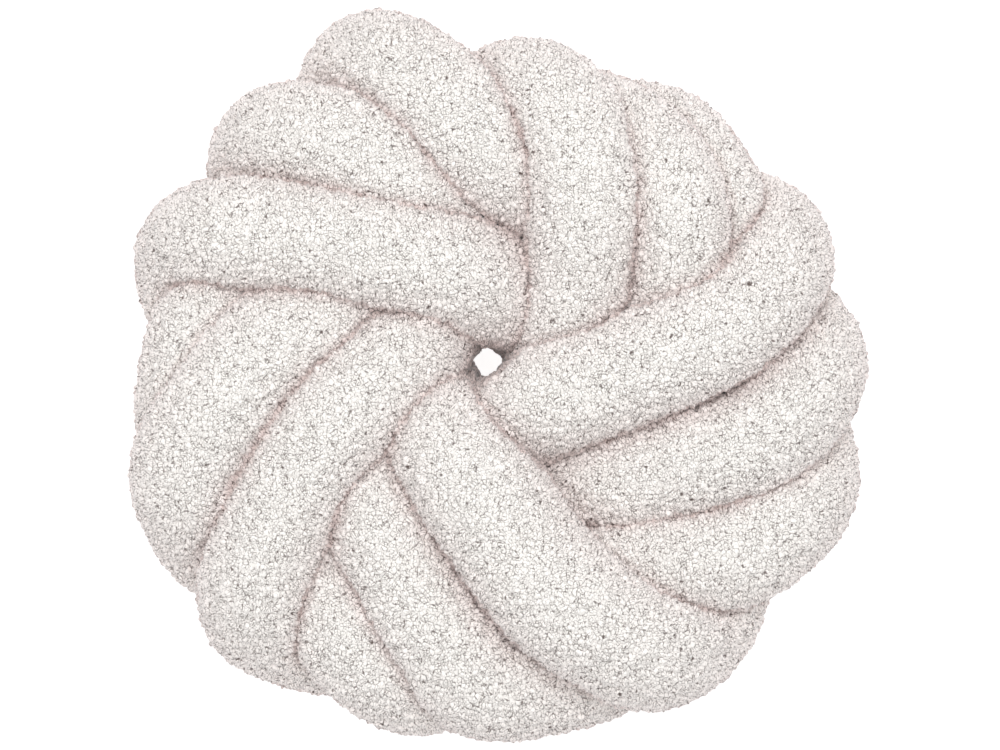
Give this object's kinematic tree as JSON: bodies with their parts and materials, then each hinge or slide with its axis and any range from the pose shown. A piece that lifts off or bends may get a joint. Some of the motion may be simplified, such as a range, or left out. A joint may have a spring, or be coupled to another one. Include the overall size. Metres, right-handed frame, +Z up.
{
  "type": "knot cushion",
  "caption": "Round knot cushion: a long stuffed tube of curly fleece woven into a low flat knot, to lean on or to dress a sofa or bed.",
  "frame": {"origin": "on the resting plane, under the middle of the cushion's box", "axes": "+Z up, out of the visible face, as the cushion lies on its back; +X to the picture's right and +Y to the picture's top"},
  "size_m": [0.4018, 0.4002, 0.1406],
  "materials": {
    "cream_fleece": "off-white curly fleece, matt"
  },
  "bodies": {
    "root": {"knotted_tube": "cream_fleece"}
  },
  "joints": []
}
